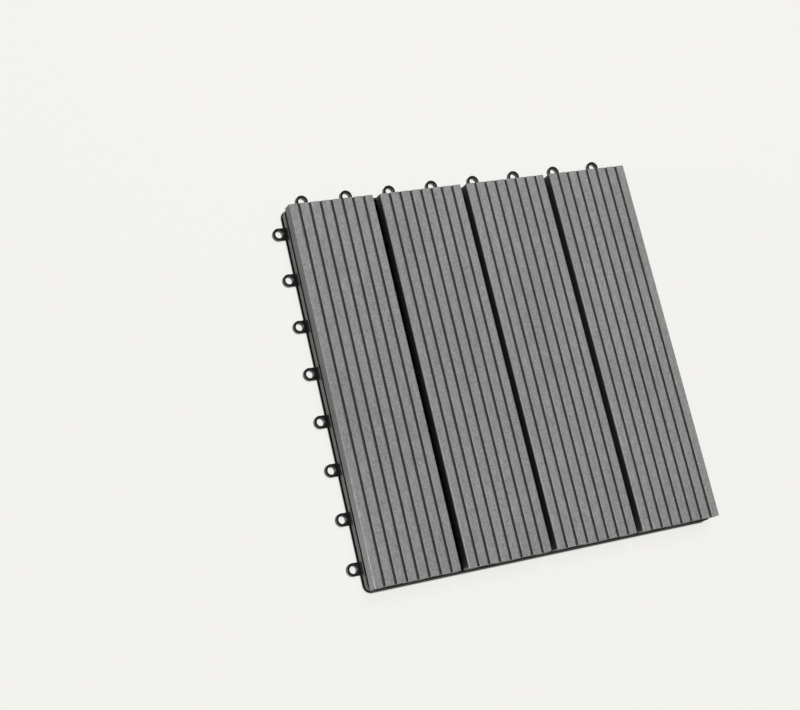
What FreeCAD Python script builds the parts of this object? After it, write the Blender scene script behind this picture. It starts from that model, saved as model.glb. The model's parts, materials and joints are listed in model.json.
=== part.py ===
import FreeCAD, Part
import math
import os

# Interlocking deck tile: four grooved composite slats screwed from below to one moulded base grid.
# X runs across the slats, Y along them and Z up. The origin is the tile's centre at ground level.
# All lengths are in millimetres.

# Slats, which also set the tile's size
slat_count = 4
slat_width = 70.5
slat_gap = 5.6
slat_offsets = (0.0, 0.7, 0.2, 0.1)
slat_side_inset = 0.6
slat_end_inset = 1.0
slat_height = 11.0
slat_top_round = 1.1
slat_foot_chamfer = 0.8

# Grooves in the walking face
groove_count = 7
groove_margin = 7.95
groove_mouth = 2.0
groove_floor = 1.1
groove_depth = 1.3
groove_lip = 0.35

# The two hollow channels under each slat, between its legs and a solid middle
leg_width = 8.5
middle_width = 16.1
channel_height = 5.0
channel_slope = 3.85

# Base grid, one square cell for each slat and as many along it, inside a rail
rail_wall = 2.4
rail_inner_r = 3.6
rib_wall = 2.0
foot_height = 4.0
rail_height = 5.5
seat_rise = 1.5

# Feet, a row inside the rail and one under each screw
foot_inset = 5.1
foot_width = 8.0
foot_sides = 6
screw_foot_width = 10.0
screw_foot_sides = 8

# Loops on the left side and the far end, and the pegs that drop into a neighbour's loops
loops_per_cell = 2
loop_reach = 5.7
loop_width = 10.0
loop_sides = 12
loop_hole_r = 3.0
loop_underside = 0.2
loop_neck_height = 3.1
loop_eye_height = 3.6
peg_clearance = 0.25
peg_tip_height = 0.5
peg_face_inset = 0.1
peg_root_rim = 0.75

# Countersunk self-tapping screws
screw_head_r = 3.3
screw_shank_r = 1.75
screw_length = 16.0
screw_point = 2.5
screw_sink = 0.6
screw_sides = 8
shank_clearance = 0.15

# Sizes that follow from the ones above
slat_pitch = slat_width + slat_gap
tile_size = slat_count * slat_pitch - slat_gap + 2 * slat_side_inset
half = tile_size / 2
cell_pitch = tile_size / slat_count
slat_length = tile_size - 2 * slat_end_inset
groove_pitch = (slat_width - 2 * groove_margin) / (groove_count - 1)
channel_mouth = (slat_width - 2 * leg_width - middle_width) / 2
rail_top = foot_height + rail_height
seat_level = rail_top + seat_rise
deck_level = seat_level + slat_height
peg_r = loop_hole_r - peg_clearance
peg_centre = half - peg_face_inset - peg_r
loop_centre = half + loop_reach
loop_neck_top = loop_underside + loop_neck_height
loop_eye_top = loop_underside + loop_eye_height
screw_cone_top = screw_sink + screw_head_r - screw_shank_r
screw_tip = screw_sink + screw_length
screw_point_start = screw_tip - screw_point


def vec(x, y, z=0.0):
    return FreeCAD.Vector(x, y, z)


def box(x0, x1, y0, y1, z0, z1):
    return Part.makeBox(x1 - x0, y1 - y0, z1 - z0, vec(x0, y0, z0))


def cylinder(x, y, z0, z1, r):
    return Part.makeCylinder(r, z1 - z0, vec(x, y, z0))


def rounded_square(size, r, z0, z1):
    """A square column about the Z axis with round corners."""
    outline = Part.makePlane(size, size, vec(-size / 2, -size / 2, z0))
    column = outline.extrude(vec(0, 0, z1 - z0))
    uprights = [e for e in column.Edges if abs(e.Vertexes[0].Z - e.Vertexes[-1].Z) > (z1 - z0) / 2]
    return column.makeFillet(r, uprights)


def faceted(x, y, stages, sides):
    """A column with flat sides, from rings of corners given as (height, distance from axis to flat)."""
    corners = [(n + 0.5) * 2 * math.pi / sides for n in range(sides)]
    reach = 1 / math.cos(math.pi / sides)
    rings = []
    for z, r in stages:
        if r == 0:
            rings.append([vec(x, y, z)] * sides)
        else:
            rings.append([vec(x + r * reach * math.cos(t), y + r * reach * math.sin(t), z) for t in corners])
    faces = []
    for lower, upper in zip(rings, rings[1:]):
        for n in range(sides):
            after = (n + 1) % sides
            outline = [lower[n], lower[after], upper[after], upper[n]]
            if upper[n] == upper[after]:
                outline.pop()
            faces.append(Part.Face(Part.makePolygon(outline + outline[:1])))
    for ring in (rings[0], rings[-1]):
        if ring[0] != ring[1]:
            faces.append(Part.Face(Part.makePolygon(ring + ring[:1])))
    solid = Part.Solid(Part.Shell(faces))
    return solid if solid.Volume > 0 else solid.reversed()


def next_side(shape):
    """A copy a quarter turn clockwise about the Z axis: left side to far end, right side to near end."""
    copy = shape.copy()
    copy.rotate(vec(0, 0, 0), vec(0, 0, 1), -90)
    return copy


def cell_edges():
    """Distances from the tile's middle to the two lines of feet beside each cell's edges."""
    starts = [n * cell_pitch - half for n in range(slat_count)]
    return [line for start in starts for line in (start + foot_inset, start + cell_pitch - foot_inset)]


def cell_middles():
    return [(n + 0.5) * cell_pitch - half for n in range(slat_count)]


def slat_centres():
    """Even pitch, apart from how far each slat is set over in assembly."""
    middle = (slat_count - 1) / 2
    return [(n - middle) * slat_pitch + slat_offsets[n % len(slat_offsets)] for n in range(slat_count)]


def screw_places():
    return [(x, y) for x in slat_centres() for y in cell_middles()]


def stations():
    """Places of the loops and pegs along one side."""
    pitch = cell_pitch / loops_per_cell
    count = slat_count * loops_per_cell
    return [(n - (count - 1) / 2) * pitch for n in range(count)]


def rail_inside(z0, z1):
    return rounded_square(tile_size - 2 * rail_wall, rail_inner_r, z0, z1)


def rail():
    outside = rounded_square(tile_size, rail_inner_r + rail_wall, foot_height, rail_top)
    return outside.cut(rail_inside(foot_height, rail_top))


def ribs():
    """Ribs across the slats at every line, and ribs along them under the edges that face a gap."""
    side = rib_wall / 2
    across = [box(-half, half, y - side, y + side, foot_height, seat_level)
              for y in cell_edges() + cell_middles()]
    along = [box(x - side, x + side, -half, half, foot_height, seat_level)
             for x in cell_edges()[1:-1]]
    return across[0].multiFuse(across[1:] + along).common(rail_inside(foot_height, seat_level))


def plain_feet():
    """A row of feet inside the rail, at every line that meets it."""
    lines = sorted(cell_edges() + cell_middles())
    ends = (lines[0], lines[-1])
    places = [(x, y) for x in lines for y in lines if x in ends or y in ends]
    stages = [(0, foot_width / 2), (foot_height, foot_width / 2)]
    return [faceted(x, y, stages, foot_sides) for x, y in places]


def screw_feet():
    """Columns under the middle of each slat, from the ground to the slat's seat."""
    stages = [(0, screw_foot_width / 2), (seat_level, screw_foot_width / 2)]
    return [faceted(x, y, stages, screw_foot_sides) for x, y in screw_places()]


def screw_holes():
    """Countersunk from below, with the shank running free."""
    free_r = screw_shank_r + shank_clearance
    stages = [(0, screw_head_r), (screw_sink, screw_head_r), (screw_cone_top - shank_clearance, free_r),
              (seat_level, free_r)]
    return [faceted(x, y, stages, screw_sides) for x, y in screw_places()]


def loop(place):
    """One eyelet on the left side, at this distance along it."""
    side_a, side_b = place - loop_width / 2, place + loop_width / 2
    neck = box(-loop_centre, -half + rail_wall, side_a, side_b, loop_underside, loop_neck_top)
    root = box(-half, -half + rail_wall, side_a, side_b, loop_underside, foot_height)
    stages = [(loop_underside, loop_width / 2), (loop_eye_top, loop_width / 2)]
    eye = faceted(-loop_centre, place, stages, loop_sides)
    return neck.multiFuse([root, eye])


def loop_hole(place):
    return cylinder(-loop_centre, place, loop_underside, loop_eye_top, loop_hole_r)


def peg(place):
    """One peg on the right side, at this distance along it, with its root behind the rail."""
    pin = cylinder(peg_centre, place, peg_tip_height, foot_height, peg_r)
    stages = [(foot_height, peg_r + peg_root_rim), (rail_top, peg_r + peg_root_rim)]
    root = faceted(peg_centre, place, stages, foot_sides)
    inside = box(0, half, -half, half, foot_height, rail_top)
    return pin.fuse(root.common(inside))


def base_grid():
    """Rail, ribs, feet, loops and pegs in one moulding."""
    loops = [loop(place) for place in stations()]
    pegs = [peg(place) for place in stations()]
    side_pieces = loops + pegs
    solids = [ribs()] + plain_feet() + screw_feet() + side_pieces + [next_side(s) for s in side_pieces]
    loop_holes = [loop_hole(place) for place in stations()]
    holes = screw_holes() + loop_holes + [next_side(hole) for hole in loop_holes]
    return rail().multiFuse(solids).cut(holes).removeSplitter()


def groove_outline(x):
    """Corners of one groove from left to right, with a broken edge at each lip."""
    lip = deck_level - groove_lip
    floor = deck_level - groove_depth
    mouth = groove_mouth / 2
    return [(x - mouth - groove_lip, deck_level), (x - mouth, lip), (x - groove_floor / 2, floor),
            (x + groove_floor / 2, floor), (x + mouth, lip), (x + mouth + groove_lip, deck_level)]


def channel_outline(mouth_right):
    """Corners of one channel from right to left, wider at its mouth than at its roof."""
    mouth_left = mouth_right - channel_mouth
    roof = seat_level + channel_height
    return [(mouth_right, seat_level), (mouth_right - channel_slope, roof),
            (mouth_left + channel_slope, roof), (mouth_left, seat_level)]


def slat_profile(centre):
    """The extruded section, as a face in the XZ plane at the slat's near end."""
    left, right = centre - slat_width / 2, centre + slat_width / 2
    shoulder = deck_level - slat_top_round
    crown_inset = slat_top_round * (1 - math.sqrt(0.5))
    chamfer_top = seat_level + slat_foot_chamfer

    def at(x, z):
        return vec(x, -slat_length / 2, z)

    def straight(outline):
        points = [at(x, z) for x, z in outline]
        return [Part.LineSegment(a, b).toShape() for a, b in zip(points, points[1:])]

    def rounded(outline):
        return Part.Arc(*[at(x, z) for x, z in outline]).toShape()

    top = [(left + slat_top_round, deck_level)]
    for n in range(groove_count):
        top += groove_outline(centre + (n - (groove_count - 1) / 2) * groove_pitch)
    top.append((right - slat_top_round, deck_level))
    underside = [(right, shoulder), (right, chamfer_top), (right - slat_foot_chamfer, seat_level)]
    underside += channel_outline(right - leg_width)
    underside += channel_outline(left + leg_width + channel_mouth)
    underside += [(left + slat_foot_chamfer, seat_level), (left, chamfer_top), (left, shoulder)]
    left_arc = rounded([underside[-1], (left + crown_inset, deck_level - crown_inset), top[0]])
    right_arc = rounded([top[-1], (right - crown_inset, deck_level - crown_inset), underside[0]])
    return Part.Face(Part.Wire([left_arc] + straight(top) + [right_arc] + straight(underside)))


def slat(centre):
    body = slat_profile(centre).extrude(vec(0, slat_length, 0))
    stages = [(seat_level, screw_shank_r), (screw_point_start, screw_shank_r), (screw_tip, 0)]
    return body.cut([faceted(centre, y, stages, screw_sides) for y in cell_middles()])


def slat_screws():
    """Heads down: the countersunk head, the shank and the point."""
    stages = [(screw_sink, screw_head_r), (screw_cone_top, screw_shank_r),
              (screw_point_start, screw_shank_r), (screw_tip, 0)]
    return Part.makeCompound([faceted(x, y, stages, screw_sides) for x, y in screw_places()])


os.makedirs("parts", exist_ok=True)
base_grid().exportStep("parts/base_grid.step")
for number, centre in enumerate(slat_centres(), 1):
    slat(centre).exportStep("parts/slat_" + str(number) + ".step")
slat_screws().exportStep("parts/slat_screws.step")
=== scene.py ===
import json
import math
import random

import bmesh
import bpy
from mathutils import Matrix, Vector


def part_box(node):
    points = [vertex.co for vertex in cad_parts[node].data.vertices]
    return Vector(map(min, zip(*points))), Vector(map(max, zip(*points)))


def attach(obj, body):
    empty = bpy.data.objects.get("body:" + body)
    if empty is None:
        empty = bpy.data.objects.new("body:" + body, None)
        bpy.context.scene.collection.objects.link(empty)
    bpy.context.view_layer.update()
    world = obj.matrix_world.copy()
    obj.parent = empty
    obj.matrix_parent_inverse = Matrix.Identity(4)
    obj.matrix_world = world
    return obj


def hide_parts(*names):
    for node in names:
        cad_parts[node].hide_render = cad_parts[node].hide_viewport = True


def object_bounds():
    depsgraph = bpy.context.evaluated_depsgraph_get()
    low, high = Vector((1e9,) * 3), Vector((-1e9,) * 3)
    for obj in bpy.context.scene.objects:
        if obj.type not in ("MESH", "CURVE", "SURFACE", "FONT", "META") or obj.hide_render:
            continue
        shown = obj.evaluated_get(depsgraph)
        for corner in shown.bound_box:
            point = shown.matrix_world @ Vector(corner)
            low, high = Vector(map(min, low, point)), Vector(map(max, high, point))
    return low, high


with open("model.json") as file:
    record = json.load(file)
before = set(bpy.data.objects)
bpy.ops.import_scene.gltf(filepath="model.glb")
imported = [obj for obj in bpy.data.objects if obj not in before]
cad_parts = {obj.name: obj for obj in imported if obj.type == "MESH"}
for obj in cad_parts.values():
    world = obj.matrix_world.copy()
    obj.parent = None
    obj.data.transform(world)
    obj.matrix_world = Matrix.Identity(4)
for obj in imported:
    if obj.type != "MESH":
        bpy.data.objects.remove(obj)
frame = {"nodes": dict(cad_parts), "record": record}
cad_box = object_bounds()

# Interlocking deck tile lying on its feet. X runs across the slats, Y along them and Z up.
# Lengths are in metres; MM turns a size given in millimetres into them.
MM = 0.001
MOUNTS = frame["record"]["mounts"]
SLATS = sorted(name for name in frame["nodes"] if name.startswith("slat_") and name[-1].isdigit())
TILE_HALF = cad_box[1][0]
SEAT_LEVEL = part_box(SLATS[0])[0].z
DECK_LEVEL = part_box(SLATS[0])[1].z
CELL_PITCH = 2 * TILE_HALF / len(SLATS)
CELL_MIDDLES = [(n + 0.5) * CELL_PITCH - TILE_HALF for n in range(len(SLATS))]

# Slat section
TOP_ROUND = 1.1 * MM
FOOT_ROUND = 0.8 * MM
GROOVE_COUNT = 7
GROOVE_MARGIN = 7.95 * MM
GROOVE_MOUTH = 2.0 * MM
GROOVE_FLOOR = 1.1 * MM
GROOVE_DEPTH = 1.3 * MM
GROOVE_LIP = 0.35 * MM
GROOVE_FLOOR_ROUND = 0.3 * MM
LEG_WIDTH = 8.5 * MM
MIDDLE_WIDTH = 16.1 * MM
CHANNEL_HEIGHT = 5.0 * MM
CHANNEL_SLOPE = 3.85 * MM
CHANNEL_ROUND = 0.9 * MM

# The deck's finishes in the order of a slat's materials; the groove and extruded ones also carry painted
# shade.
# A face whose normal runs along Y by more than SAWN_SLOPE is a sawn end, and one at a slat's edge that points
# up by more than BRUSHED_SLOPE is brushed.
BRUSHED, GROOVED, EXTRUDED, SAWN = range(4)
SAWN_SLOPE = 0.9
BRUSHED_SLOPE = 0.6

# Base grid. BITE is how far a solid or a cutter reaches past the face that it meets.
RAIL_WALL = 2.4 * MM
RAIL_INNER_R = 3.6 * MM
RAIL_ROUND = 0.5 * MM
RAIL_CORNER_STEPS = 10
RIB_WALL = 2.0 * MM
RIB_ROUND = 0.25 * MM
RIB_OVERLAP = 0.2 * MM
FOOT_HEIGHT = 4.0 * MM
RAIL_TOP = 9.5 * MM
FOOT_INSET = 5.1 * MM
FOOT_R = 4.2 * MM
FOOT_ROUND_R = 0.6 * MM
SCREW_FOOT_R = 5.2 * MM
BITE = 0.8 * MM
ROUND_SIDES = 40

# Loops and pegs. A loop's root ends inside the rail's wall, at these shares of half the wall from its middle.
EYE_R = 5.0 * MM
EYE_TOP = 3.8 * MM
LOOP_UNDERSIDE = 0.2 * MM
LOOP_ROUND = 0.3 * MM
NECK_WIDTH = 9.9 * MM
NECK_TOP = 3.3 * MM
ROOT_OUTER_SHARE = 0.98
ROOT_INNER_SHARE = 0.9
HOLE_BEVEL = 0.35 * MM
HOLE_DRAFT = 0.15 * MM
PEG_TIP = 0.5 * MM
PEG_ROUND = 0.6 * MM
PEG_ROOT_RIM = 0.75 * MM

# Screws, heads down. A thread's flank rises over THREAD_FLANK of its pitch, and at the very tip a screw
# keeps POINT_SHARE of its width. The slats' pilot holes end in a point as well.
SCREW_HEAD_R = 3.3 * MM
HEAD_RIM = 0.15 * MM
HEAD_CLEARANCE = 0.1 * MM
SCREW_SHANK_R = 1.75 * MM
SCREW_CORE_R = 1.3 * MM
SCREW_SINK = 0.6 * MM
SCREW_TIP = 16.6 * MM
SCREW_POINT = 2.5 * MM
POINT_SHARE = 0.05
SCREW_SIDES = 20
THREAD_PITCH = 1.6 * MM
THREAD_FLANK = 0.25
RINGS_PER_TURN = 8
SHANK_CLEARANCE = 0.15 * MM
PILOT_POINT_R = 0.1 * MM
PILOT_SIDES = 24

# Rings of the cross recess in a screw's head: depth, reach of an arm and half its width, in millimetres
RECESS_RINGS = ((-0.2, 1.95, 0.46), (0, 1.9, 0.45), (0.9, 1.3, 0.38), (1.9, 0.7, 0.3))
RECESS_SEED = 5

# The photograph's view: where the lens stands and which way the image runs, to the right and up. The lens
# and the sensor are in millimetres, and the shift is a share of the image's width.
LENS_PLACE = (-0.61199, -0.22349, 1.24988)
IMAGE_RIGHT = (0.91102, -0.22607, 0.34487)
IMAGE_UP = (0.11419, 0.94193, 0.31581)
LENS_LENGTH = 79.541
SENSOR_WIDTH = 36
LENS_SHIFT = (-0.00104, -0.1625)
NEAREST_SEEN = 0.05
FARTHEST_SEEN = 50

# Light and floor. FLOOR_GLOW is the share of the floor's look that is a light of its own, as the camera and
# reflections see it. Under the tile the floor has painted shade: its colour and glow fade to a dark tone in a
# rounded square that ends a little past the rail, and further past the slats' ends where a reflection shows
# it, so that the rail's faces there reflect painted shade.
BACKDROP = (0.905, 0.896, 0.863, 1)
SKY_LEVEL = 0.17
FLOOR_HALF = 4
FLOOR_GLOW = 0.92
SHADE_CORNER_R = RAIL_WALL + RAIL_INNER_R
SHADE_EDGE = 0.05 * MM
SHADE_REACH = 1.1 * MM
SHADE_IN_GLOSS = 7 * MM
# Share of the floor's colour that the painted shade under the tile keeps
PAINTED_SHADE_TONE = 0.02

# Nearly all the values of a noise lie in this range
NOISE_RANGE = (0.3, 0.7)


def add(tree, kind, inputs=None, **settings):
    """A node with these settings, whose inputs take plain values or the outputs of other nodes."""
    node = tree.nodes.new(kind)
    for name, value in settings.items():
        setattr(node, name, value)
    for name, value in (inputs or {}).items():
        if isinstance(value, bpy.types.NodeSocket):
            tree.links.new(value, node.inputs[name])
        else:
            node.inputs[name].default_value = value
    return node


def maths(tree, operation, *values):
    """The result of one operation on plain values or the outputs of other nodes."""
    return add(tree, "ShaderNodeMath", dict(enumerate(values)), operation=operation).outputs[0]


def product(tree, *values):
    """All the values multiplied with each other."""
    result = values[0]
    for value in values[1:]:
        result = maths(tree, "MULTIPLY", result, value)
    return result


def grain(tree, size, detail=2.0):
    """Noise from 0 to 1 whose features measure about this many millimetres along X, Y and Z."""
    place = add(tree, "ShaderNodeTexCoord").outputs["Object"]
    scale = [1 / (length * MM) for length in size]
    scaled = add(tree, "ShaderNodeMapping", {"Vector": place, "Scale": scale}).outputs[0]
    return add(tree, "ShaderNodeTexNoise", {"Vector": scaled, "Scale": 1.0, "Detail": detail}).outputs[0]


def stretch(tree, value, low, high, to_low, to_high):
    """Maps the range from low to high onto another, and holds what lies outside it."""
    return add(tree, "ShaderNodeMapRange", {"Value": value, "From Min": low, "From Max": high,
                                            "To Min": to_low, "To Max": to_high}).outputs[0]


def vary(tree, noise, low, high):
    """Maps a noise onto the range from low to high."""
    return stretch(tree, noise, *NOISE_RANGE, low, high)


def mask(tree, value, start, full):
    """Rises from 0 to 1 while a value goes from start to full."""
    return stretch(tree, value, start, full, 0, 1)


def between(tree, share, low, high):
    """Low where the share is 0, and high where it is 1."""
    return stretch(tree, share, 0, 1, low, high)


def shaded(tree, tint, tone):
    """A colour of this tint, as bright as the tone."""
    return add(tree, "ShaderNodeVectorMath", {0: tint, "Scale": tone}, operation="SCALE").outputs[0]


def new_material(name):
    """A material with its node tree and its shader."""
    material = bpy.data.materials.new(name)
    material.use_nodes = True
    return material, material.node_tree, material.node_tree.nodes["Principled BSDF"]


def surface(tree, shader, colour, roughness, height, depth):
    """Links a colour, a roughness and a bump whose depth is in millimetres."""
    bump = add(tree, "ShaderNodeBump", {"Height": height, "Distance": depth * MM}).outputs[0]
    tree.links.new(colour, shader.inputs["Base Color"])
    tree.links.new(roughness, shader.inputs["Roughness"])
    tree.links.new(bump, shader.inputs["Normal"])


def composite(name, tone, contrast, depth):
    """Wood and plastic composite: speckled, streaked along the slat and slightly cloudy."""
    material, tree, shader = new_material(name)
    speckle = grain(tree, (0.9, 1.4, 0.9), detail=1)
    fibres = grain(tree, (1.6, 14, 1.6), detail=3)
    clouds = grain(tree, (30, 80, 30), detail=1)
    pits = mask(tree, grain(tree, (1.3, 3.5, 1.3), detail=0), 0.3, 0.22)
    level = product(tree, vary(tree, speckle, 1 - contrast, 1 + contrast),
                    stretch(tree, fibres, 0.25, 0.75, 1 - contrast / 2, 1 + contrast / 2),
                    vary(tree, clouds, 0.96, 1.04),
                    maths(tree, "MULTIPLY_ADD", pits, -contrast, 1.0), tone)
    height = maths(tree, "ADD", speckle, maths(tree, "SUBTRACT", fibres, pits))
    roughness = vary(tree, speckle, 0.66, 0.8)
    surface(tree, shader, shaded(tree, (1, 0.998, 0.992), level), roughness, height, depth)
    return material


def sawn_end(name, tone):
    """The composite where the saw cut it across: paler, with the blade's marks and dark chips."""
    material, tree, shader = new_material(name)
    marks = grain(tree, (9, 40, 0.5), detail=1)
    chips = mask(tree, grain(tree, (0.9, 0.9, 0.9)), 0.36, 0.26)
    level = product(tree, vary(tree, marks, 0.9, 1.1), between(tree, chips, 1, 0.7), tone)
    height = maths(tree, "SUBTRACT", marks, chips)
    roughness = vary(tree, marks, 0.75, 0.9)
    surface(tree, shader, shaded(tree, (1, 0.995, 0.98), level), roughness, height, depth=0.06)
    return material


def moulded(name, tone):
    """Black moulded plastic with a fine die grain, a little cloudy in its gloss and scuffed in places."""
    material, tree, shader = new_material(name)
    pores = grain(tree, (0.5, 0.5, 0.5))
    clouds = grain(tree, (18, 18, 18), detail=3)
    scuffs = mask(tree, grain(tree, (0.9, 7, 0.9), detail=3), 0.62, 0.74)
    level = product(tree, vary(tree, clouds, 0.85, 1.15), between(tree, scuffs, 1, 2), tone)
    height = maths(tree, "SUBTRACT", pores, scuffs)
    roughness = maths(tree, "ADD", vary(tree, clouds, 0.34, 0.43), product(tree, scuffs, 0.12))
    shader.inputs["Specular IOR Level"].default_value = 0.8
    surface(tree, shader, shaded(tree, (1, 1, 1.01), level), roughness, height, depth=0.025)
    return material


def plated(name, tone):
    """Zinc-plated steel, streaked by the driver and dulled in patches."""
    material, tree, shader = new_material(name)
    patches = grain(tree, (1.5, 1.5, 1.5), detail=3)
    scratches = grain(tree, (0.15, 2.5, 0.15))
    level = product(tree, vary(tree, patches, 0.8, 1.1), vary(tree, scratches, 0.95, 1.05), tone)
    roughness = vary(tree, patches, 0.42, 0.28)
    shader.inputs["Metallic"].default_value = 1
    surface(tree, shader, shaded(tree, (0.97, 0.98, 1), level), roughness, scratches, depth=0.01)
    return material


def turns(sides):
    """The angles of this many even steps round a circle."""
    return [2 * math.pi * n / sides for n in range(sides)]


def arc(centre, radius, start, end, steps):
    """Points of an arc in a plane, with its angles in degrees."""
    angles = [math.radians(start + (end - start) * n / steps) for n in range(steps + 1)]
    return [(centre[0] + radius * math.cos(a), centre[1] + radius * math.sin(a)) for a in angles]


def rounded(corners, steps):
    """A closed outline from (x, y, radius) corners, each rounded by an arc between its two sides."""
    outline = []
    count = len(corners)
    for n, (x, y, radius) in enumerate(corners):
        here = Vector((x, y))
        before = Vector(corners[n - 1][:2]) - here
        after = Vector(corners[(n + 1) % count][:2]) - here
        half_angle = before.angle(after) / 2
        reach = radius / math.tan(half_angle)
        inward = (before.normalized() + after.normalized()).normalized()
        centre = here + inward * radius / math.sin(half_angle)
        start = here + before.normalized() * reach - centre
        end = here + after.normalized() * reach - centre
        turn = start.angle_signed(end)
        for step in range(steps + 1):
            spoke = start.copy()
            spoke.rotate(Matrix.Rotation(-turn * step / steps, 2))
            outline.append(tuple(centre + spoke))
    return outline


def skin(rings, closed=False):
    """Faces from ring to ring, with both ends capped unless the rings close on themselves."""
    bm = bmesh.new()
    rows = [[bm.verts.new(point) for point in ring] for ring in rings]
    pairs = list(zip(rows, rows[1:]))
    if closed:
        pairs.append((rows[-1], rows[0]))
    else:
        bm.faces.new(rows[0])
        bm.faces.new(rows[-1])
    for lower, upper in pairs:
        for n in range(len(lower)):
            after = (n + 1) % len(lower)
            bm.faces.new((lower[n], lower[after], upper[after], upper[n]))
    bmesh.ops.recalc_face_normals(bm, faces=bm.faces)
    return bm


def to_object(name, bm):
    """Puts a finished mesh into the scene."""
    mesh = bpy.data.meshes.new(name)
    bm.to_mesh(mesh)
    bm.free()
    obj = bpy.data.objects.new(name, mesh)
    bpy.context.scene.collection.objects.link(obj)
    return obj


def apply_modifiers(obj):
    """Puts the result of the object's modifiers into its mesh."""
    depsgraph = bpy.context.evaluated_depsgraph_get()
    mesh = bpy.data.meshes.new_from_object(obj.evaluated_get(depsgraph))
    obj.modifiers.clear()
    obj.data = mesh


def combine(target, tools, operation):
    """Unites the target with the tools, or cuts them from it, and removes the tools."""
    group = bpy.data.collections.new("tools")
    for tool in tools:
        bpy.context.scene.collection.objects.unlink(tool)
        group.objects.link(tool)
    modifier = target.modifiers.new("combine", "BOOLEAN")
    modifier.operand_type = "COLLECTION"
    modifier.collection = group
    modifier.operation = operation
    modifier.solver = "MANIFOLD"
    apply_modifiers(target)
    for tool in tools:
        bpy.data.objects.remove(tool)
    bpy.data.collections.remove(group)
    return target


def smooth(obj, degrees=35):
    """Smooth shading up to this angle, with flat faces kept flat beside their rounded edges."""
    obj.data.shade_smooth()
    obj.data.set_sharp_from_angle(angle=math.radians(degrees))
    weighted = obj.modifiers.new("weighted", "WEIGHTED_NORMAL")
    weighted.keep_sharp = True
    apply_modifiers(obj)


def column(place, profile, sides=ROUND_SIDES):
    """A turned column from (radius, height) points, standing at a place."""
    x, y = place[:2]
    rings = [[(x + r * math.cos(t), y + r * math.sin(t), z) for t in turns(sides)] for r, z in profile]
    return to_object("column", skin(rings))


def post_profile(radius, low, rounding, top):
    """A column from its rounded lower rim up to its top."""
    return arc((radius - rounding, low + rounding), rounding, -90, 0, steps=6) + [(radius, top)]


def disc_profile(radius, low, high, rounding):
    """A disc with a rounded rim above and below."""
    lower = arc((radius - rounding, low + rounding), rounding, -90, 0, steps=3)
    upper = arc((radius - rounding, high - rounding), rounding, 0, 90, steps=3)
    return lower + upper


def bar(start, end, section):
    """A straight bar of this (across, height) section between two places on the ground."""
    start, end = Vector(start), Vector(end)
    across = Vector((-(end - start).y, (end - start).x)).normalized()
    rings = [[(p.x + across.x * u, p.y + across.y * u, z) for u, z in section] for p in (start, end)]
    return to_object("bar", skin(rings))


def bar_section(width, low, high, rounding, steps):
    """A bar's section with its four corners rounded."""
    half = width / 2
    corners = [(-half, low), (half, low), (half, high), (-half, high)]
    return rounded([(u, z, rounding) for u, z in corners], steps)


def groove(x):
    """Corners of one groove from right to left, as its outline runs."""
    floor = DECK_LEVEL - GROOVE_DEPTH
    reach = GROOVE_MOUTH / 2 + GROOVE_LIP / 2
    return [(x + reach, DECK_LEVEL, GROOVE_LIP), (x + GROOVE_FLOOR / 2, floor, GROOVE_FLOOR_ROUND),
            (x - GROOVE_FLOOR / 2, floor, GROOVE_FLOOR_ROUND), (x - reach, DECK_LEVEL, GROOVE_LIP)]


def channel(mouth_left, mouth_width):
    """Corners of one hollow channel from left to right."""
    roof = SEAT_LEVEL + CHANNEL_HEIGHT
    mouth_right = mouth_left + mouth_width
    return [(mouth_left, SEAT_LEVEL, CHANNEL_ROUND / 2), (mouth_left + CHANNEL_SLOPE, roof, CHANNEL_ROUND),
            (mouth_right - CHANNEL_SLOPE, roof, CHANNEL_ROUND), (mouth_right, SEAT_LEVEL, CHANNEL_ROUND / 2)]


def slat_section(left, right):
    """The extruded section, anticlockwise from the left foot."""
    middle = (left + right) / 2
    mouth_width = (right - left - 2 * LEG_WIDTH - MIDDLE_WIDTH) / 2
    groove_pitch = (right - left - 2 * GROOVE_MARGIN) / (GROOVE_COUNT - 1)
    corners = [(left, SEAT_LEVEL, FOOT_ROUND)]
    corners += channel(left + LEG_WIDTH, mouth_width)
    corners += channel(right - LEG_WIDTH - mouth_width, mouth_width)
    corners += [(right, SEAT_LEVEL, FOOT_ROUND), (right, DECK_LEVEL, TOP_ROUND)]
    for n in reversed(range(GROOVE_COUNT)):
        corners += groove(middle + (n - (GROOVE_COUNT - 1) / 2) * groove_pitch)
    corners.append((left, DECK_LEVEL, TOP_ROUND))
    return rounded(corners, steps=5)


def finish_of(face, low, high):
    """Which of the deck's finishes a face shows: brushed top, groove, extruded skin or sawn end."""
    middle, normal = face.center, face.normal
    if abs(normal.y) > SAWN_SLOPE:
        return SAWN
    if middle.z > high.z - GROOVE_LIP / 2 and normal.z > 0:
        return BRUSHED
    inside = low.x + TOP_ROUND < middle.x < high.x - TOP_ROUND
    if inside and middle.z > high.z - GROOVE_DEPTH - GROOVE_LIP:
        return GROOVED
    return BRUSHED if normal.z > BRUSHED_SLOPE else EXTRUDED


def make_slat(node, finishes):
    """One slat with the pilot holes of its screws."""
    low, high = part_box(node)
    section = slat_section(low.x, high.x)
    rings = [[(x, y, z) for x, z in section] for y in (low.y, high.y)]
    slat = to_object(node + "_board", skin(rings))
    middle = (low.x + high.x) / 2
    hole = [(SCREW_CORE_R, SEAT_LEVEL - BITE), (SCREW_CORE_R, SCREW_TIP - SCREW_POINT),
            (PILOT_POINT_R, SCREW_TIP)]
    combine(slat, [column((middle, y), hole, PILOT_SIDES) for y in CELL_MIDDLES], "DIFFERENCE")
    smooth(slat)
    slat.data.materials.clear()
    for finish in finishes:
        slat.data.materials.append(finish)
    for face in slat.data.polygons:
        face.material_index = finish_of(face, low, high)
    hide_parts(node)
    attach(slat, "root")


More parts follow.
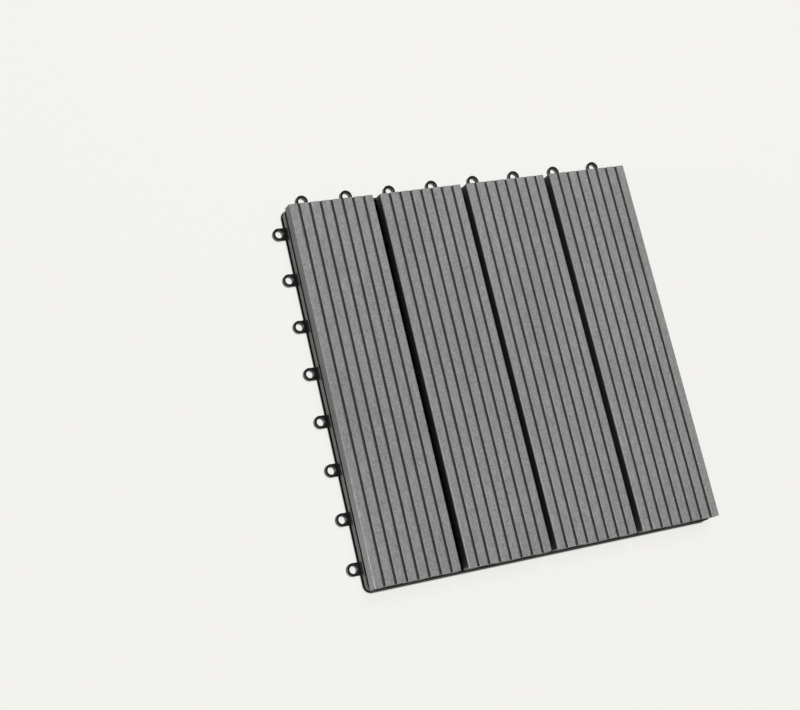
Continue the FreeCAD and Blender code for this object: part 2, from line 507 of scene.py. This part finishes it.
def make_rail():
    """The rail's section, swept round the tile's edge."""
    corner = TILE_HALF - RAIL_WALL - RAIL_INNER_R
    spine = []
    for quarter, (sx, sy) in enumerate(((1, 1), (-1, 1), (-1, -1), (1, -1))):
        for n in range(RAIL_CORNER_STEPS + 1):
            angle = math.pi / 2 * (quarter + n / RAIL_CORNER_STEPS)
            outward = Vector((math.cos(angle), math.sin(angle)))
            spine.append((Vector((sx * corner, sy * corner)) + outward * RAIL_INNER_R, outward))
    section = rounded([(0, FOOT_HEIGHT, RIB_ROUND), (RAIL_WALL, FOOT_HEIGHT, RIB_ROUND),
                       (RAIL_WALL, RAIL_TOP, RAIL_ROUND), (0, RAIL_TOP, RIB_ROUND)], steps=4)
    rings = [[(p.x + o.x * u, p.y + o.y * u, z) for u, z in section] for p, o in spine]
    return to_object("base_moulding", skin(rings, closed=True))


def cell_edges():
    """The lines on which ribs run and feet stand, two to a cell, from the left or near side."""
    starts = [n * CELL_PITCH - TILE_HALF for n in range(len(SLATS))]
    return [line for start in starts for line in (start + FOOT_INSET, start + CELL_PITCH - FOOT_INSET)]


def ribs():
    """Ribs across the tile at each cell's edges and middle, and along it at the inner edges."""
    section = bar_section(RIB_WALL, FOOT_HEIGHT, SEAT_LEVEL, RIB_ROUND, steps=2)
    reach = TILE_HALF - RAIL_WALL + RIB_OVERLAP
    across = [bar((-reach, y), (reach, y), section) for y in cell_edges() + CELL_MIDDLES]
    along = [bar((x, -reach), (x, reach), section) for x in cell_edges()[1:-1]]
    return across + along


def screw_places():
    """Where the screws stand: four under the middle of each slat."""
    middles = [sum(corner.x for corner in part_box(node)) / 2 for node in SLATS]
    return [(x, y) for x in middles for y in CELL_MIDDLES]


def feet():
    """Plain feet round the tile's edge, and wider ones that carry the screws."""
    lines = sorted(cell_edges() + CELL_MIDDLES)
    ends = (lines[0], lines[-1])
    places = [(x, y) for x in lines for y in lines if x in ends or y in ends]
    plain = post_profile(FOOT_R, 0, FOOT_ROUND_R, FOOT_HEIGHT + BITE)
    carrying = post_profile(SCREW_FOOT_R, 0, FOOT_ROUND_R, SEAT_LEVEL)
    return [column(place, plain) for place in places] + [column(place, carrying) for place in screw_places()]


def screw_hole(place):
    """Countersunk from below, with the shank running free."""
    free_r = SCREW_SHANK_R + SHANK_CLEARANCE
    mouth_r = SCREW_HEAD_R + HEAD_CLEARANCE
    cone_foot = SCREW_SINK + HEAD_RIM
    return column(place, [(mouth_r, -BITE), (mouth_r, cone_foot), (free_r, cone_foot + mouth_r - free_r),
                          (free_r, SEAT_LEVEL + BITE)])


def loop_places():
    """The centre of each loop's hole, from the patterns that the record states."""
    places = []
    for mount in MOUNTS:
        if mount["kind"] == "bolt_pattern":
            dims = mount["dims"]
            half_span = Vector((dims.get("spacing_x_mm", 0), dims.get("spacing_y_mm", 0), 0)) * MM / 2
            places += [Vector(mount["pos_m"]) - half_span, Vector(mount["pos_m"]) + half_span]
    return places


def side_of(place):
    """The outward direction of the tile's side that a place belongs to."""
    if abs(place.x) > abs(place.y):
        return Vector((math.copysign(1, place.x), 0))
    return Vector((0, math.copysign(1, place.y)))


def loop(place):
    """Eye, neck and the root that joins them to the rail."""
    outward = side_of(place)
    centre = place.to_2d()
    inside = centre - outward * (centre.dot(outward) - TILE_HALF + RAIL_WALL / 2)
    face = inside + outward * RAIL_WALL / 2 * ROOT_OUTER_SHARE
    back = inside - outward * RAIL_WALL / 2 * ROOT_INNER_SHARE
    neck = bar_section(NECK_WIDTH, LOOP_UNDERSIDE, NECK_TOP, LOOP_ROUND, steps=3)
    root = bar_section(NECK_WIDTH, LOOP_UNDERSIDE, FOOT_HEIGHT + BITE, LOOP_ROUND, steps=3)
    return [column(centre, disc_profile(EYE_R, LOOP_UNDERSIDE, EYE_TOP, LOOP_ROUND)),
            bar(inside, centre, neck), bar(back, face, root)]


def loop_hole(place, hole_r):
    """The hole, a little narrower below, with a bevel above that leads a peg in."""
    rim = LOOP_ROUND / 2
    foot_r = hole_r - HOLE_DRAFT
    return column(place, [(foot_r + rim + BITE, LOOP_UNDERSIDE - BITE), (foot_r, LOOP_UNDERSIDE + rim),
                          (hole_r, EYE_TOP - HOLE_BEVEL), (hole_r + HOLE_BEVEL + BITE, EYE_TOP + BITE)])


def peg(mount):
    """A pin with a rounded tip, and the half-round root behind the rail that carries it."""
    place = Vector(mount["pos_m"])
    outward = side_of(place)
    radius = mount["dims"]["r_mm"] * MM
    pin = column(place, post_profile(radius, PEG_TIP, PEG_ROUND, FOOT_HEIGHT + BITE))
    face = TILE_HALF - RAIL_WALL / 4
    ring = []
    for turn in turns(ROUND_SIDES):
        spoke = place.to_2d() + (radius + PEG_ROOT_RIM) * Vector((math.cos(turn), math.sin(turn)))
        ring.append(spoke - outward * max(0, spoke.dot(outward) - face))
    rings = [[(p.x, p.y, z) for p in ring] for z in (FOOT_HEIGHT, RAIL_TOP - RIB_ROUND)]
    return [pin, to_object("root", skin(rings))]


def threaded_screw(place):
    """A screw from its head to its point, with a helical thread above the plain shank."""
    x, y = place
    profile = [(SCREW_HEAD_R, SCREW_SINK), (SCREW_HEAD_R, SCREW_SINK + HEAD_RIM),
               (SCREW_SHANK_R, SCREW_SINK + SCREW_HEAD_R - SCREW_SHANK_R)]
    angles = turns(SCREW_SIDES)
    rings = [[(x + r * math.cos(t), y + r * math.sin(t), z) for t in angles] for r, z in profile]
    steps = round((SCREW_TIP - SEAT_LEVEL) / THREAD_PITCH * RINGS_PER_TURN)
    for n in range(steps + 1):
        z = SEAT_LEVEL + (SCREW_TIP - SEAT_LEVEL) * n / steps
        taper = min(1, (SCREW_TIP - z) / SCREW_POINT + POINT_SHARE)
        ring = []
        for turn in angles:
            phase = (z / THREAD_PITCH - turn / (2 * math.pi)) % 1
            crest = max(0, 1 - abs(phase - 0.5) / THREAD_FLANK)
            radius = (SCREW_CORE_R + (SCREW_SHANK_R - SCREW_CORE_R) * crest) * taper
            ring.append((x + radius * math.cos(turn), y + radius * math.sin(turn), z))
        rings.append(ring)
    return to_object("screw", skin(rings))


def cross_recess(place, turn):
    """A tapered cross-shaped punch that opens downwards."""
    rings = []
    for depth, reach, half in RECESS_RINGS:
        arm = [(reach, -half), (reach, half), (half, half)]
        ring = []
        for quarter in range(4):
            spin = Matrix.Rotation(turn + math.pi / 2 * quarter, 2)
            ring += [tuple(Vector(place) + spin @ Vector(p) * MM) for p in arm]
        rings.append([(u, v, SCREW_SINK + depth * MM) for u, v in ring])
    return to_object("recess", skin(rings))


def make_screws(finish):
    """All the screws as one piece, their recesses turned as the driver left them."""
    draw = random.Random(RECESS_SEED)
    shanks = [threaded_screw(place) for place in screw_places()]
    screws = combine(shanks[0], shanks[1:], "UNION")
    screws.name = "deck_screws"
    combine(screws, [cross_recess(place, draw.uniform(0, math.pi)) for place in screw_places()], "DIFFERENCE")
    smooth(screws)
    screws.data.materials.append(finish)
    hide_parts("slat_screws")
    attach(screws, "root")


def make_base(finish):
    """Rail, ribs, feet, loops and pegs as one moulding."""
    pegs = [mount for mount in MOUNTS if mount["kind"] == "pin"]
    hole_r = next(mount["dims"]["hole_r_mm"] for mount in MOUNTS if mount["kind"] == "bolt_pattern") * MM
    solids = ribs() + feet()
    for place in loop_places():
        solids += loop(place)
    for mount in pegs:
        solids += peg(mount)
    base = combine(make_rail(), solids, "UNION")
    holes = [screw_hole(place) for place in screw_places()] + [loop_hole(p, hole_r) for p in loop_places()]
    combine(base, holes, "DIFFERENCE")
    smooth(base)
    base.data.materials.clear()
    base.data.materials.append(finish)
    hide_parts("base_grid")
    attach(base, "root")


def set_camera():
    """The camera at the photograph's place, with its view of the tile."""
    camera = bpy.data.cameras.new("camera")
    camera.sensor_width = SENSOR_WIDTH
    camera.lens = LENS_LENGTH
    camera.shift_x, camera.shift_y = LENS_SHIFT
    camera.clip_start = NEAREST_SEEN
    camera.clip_end = FARTHEST_SEEN
    right = Vector(IMAGE_RIGHT).normalized()
    up = Vector(IMAGE_UP).normalized()
    turn = Matrix((right, up, right.cross(up))).transposed().to_4x4()
    obj = bpy.data.objects.new("camera", camera)
    bpy.context.scene.collection.objects.link(obj)
    obj.matrix_world = Matrix.Translation(Vector(LENS_PLACE)) @ turn
    bpy.context.scene.camera = obj


def make_world():
    """Soft, weak light from all round."""
    world = bpy.data.worlds.new("sky")
    world.use_nodes = True
    sky = world.node_tree.nodes["Background"]
    sky.inputs["Color"].default_value = (1, 1, 1, 1)
    sky.inputs["Strength"].default_value = SKY_LEVEL
    bpy.context.scene.world = world


def seen_directly(tree):
    """1 for rays from the camera, a reflection or glass, and 0 for rays that only carry light."""
    path = add(tree, "ShaderNodeLightPath")
    direct = path.outputs["Is Camera Ray"]
    for kind in ("Is Glossy Ray", "Is Transmission Ray"):
        direct = maths(tree, "MAXIMUM", direct, path.outputs[kind])
    return direct


def clear_of_painted_shade(tree):
    """Mask of the floor's painted shade: 0 under the tile, rising to 1 past its edge, and later at its ends
    in a reflection.
    """
    place = add(tree, "ShaderNodeSeparateXYZ", {0: add(tree, "ShaderNodeTexCoord").outputs["Object"]}).outputs
    across = maths(tree, "ABSOLUTE", place["X"])
    along = maths(tree, "ABSOLUTE", place["Y"])
    squares = []
    for distance in (across, along):
        past = maths(tree, "MAXIMUM", maths(tree, "SUBTRACT", distance, TILE_HALF - SHADE_CORNER_R), 0)
        squares.append(product(tree, past, past))
    off_corner = maths(tree, "SQRT", maths(tree, "ADD", *squares))
    # Painted shade reaches further past the slats' ends for reflections, so the rail's near faces reflect
    # dark floor
    reflected = add(tree, "ShaderNodeLightPath").outputs["Is Glossy Ray"]
    at_ends = product(tree, reflected, maths(tree, "GREATER_THAN", along, across))
    far_edge = maths(tree, "MULTIPLY_ADD", at_ends, SHADE_IN_GLOSS, SHADE_CORNER_R + SHADE_REACH)
    return mask(tree, off_corner, SHADE_CORNER_R + SHADE_EDGE, far_edge)


def make_floor():
    """A pale floor with painted shade: its colour and glow are dark under the tile."""
    bm = bmesh.new()
    bmesh.ops.create_grid(bm, x_segments=1, y_segments=1, size=FLOOR_HALF)
    floor = to_object("floor", bm)
    material, tree, shader = new_material("floor_paper")
    clear_of_shade = clear_of_painted_shade(tree)
    mottle = vary(tree, grain(tree, (0.9, 0.9, 0.9)), 0.995, 1.005)
    # Painted shade: the floor's colour darkens under the tile and just past its edge
    colour = shaded(tree, BACKDROP[:3], product(tree, mottle, between(tree, clear_of_shade, PAINTED_SHADE_TONE, 1)))
    tree.links.new(colour, shader.inputs["Base Color"])
    shader.inputs["Roughness"].default_value = 0.9
    shader.inputs["Specular IOR Level"].default_value = 0
    glow = add(tree, "ShaderNodeEmission", {"Color": BACKDROP, "Strength": 1.0}).outputs[0]
    # The glow fades out under the tile as well, so the painted shade stays dark there
    share = product(tree, seen_directly(tree), clear_of_shade, FLOOR_GLOW)
    mixed = add(tree, "ShaderNodeMixShader", {0: share, 1: shader.outputs[0], 2: glow}).outputs[0]
    tree.links.new(mixed, tree.nodes["Material Output"].inputs["Surface"])
    floor.data.materials.append(material)


def make_lamp(name, kind, place, aim=(0, 0, 0), **settings):
    """A lamp aimed from one place at another. Only a sun, whose place gives its direction, adds a gloss."""
    lamp = bpy.data.lights.new(name, kind)
    for setting, value in settings.items():
        setattr(lamp, setting, value)
    obj = bpy.data.objects.new(name, lamp)
    obj.location = place
    obj.rotation_euler = (Vector(place) - Vector(aim)).to_track_quat("Z", "Y").to_euler()
    obj.visible_glossy = kind == "SUN"
    bpy.context.scene.collection.objects.link(obj)


set_camera()
make_world()
make_floor()
make_lamp("key_softbox", "AREA", place=(0.08, 0.66, 1.6), energy=22.5, size=0.7)
make_lamp("side_sun", "SUN", place=(-0.98, 0.1, 0.19), energy=1.5, angle=0.25)
make_lamp("corner_spot", "SPOT", place=(-1.2, -0.4, 0.07), aim=(-0.15, -0.145, 0.015), energy=52,
          spot_size=math.radians(10), spot_blend=1, shadow_soft_size=0.05)

deck_finishes = [composite("deck_brushed", tone=0.28, contrast=0.22, depth=0.08),
                 # Grooves: darker as an unbrushed finish, and darker still with painted shade in the grooves
                 composite("deck_groove_painted_shade", tone=0.06, contrast=0.10, depth=0.04),
                 # Sides, gap walls and undersides: darker as extruded skin, and darker still with painted
                 # shade on the sides
                 composite("deck_extruded_painted_shade", tone=0.108, contrast=0.10, depth=0.03),
                 sawn_end("deck_sawn", tone=0.26)]
for node in SLATS:
    make_slat(node, deck_finishes)
make_base(moulded("base_moulded", tone=0.011))
make_screws(plated("screw_zinc", tone=0.55))
bpy.context.scene.view_settings.view_transform = "Standard"
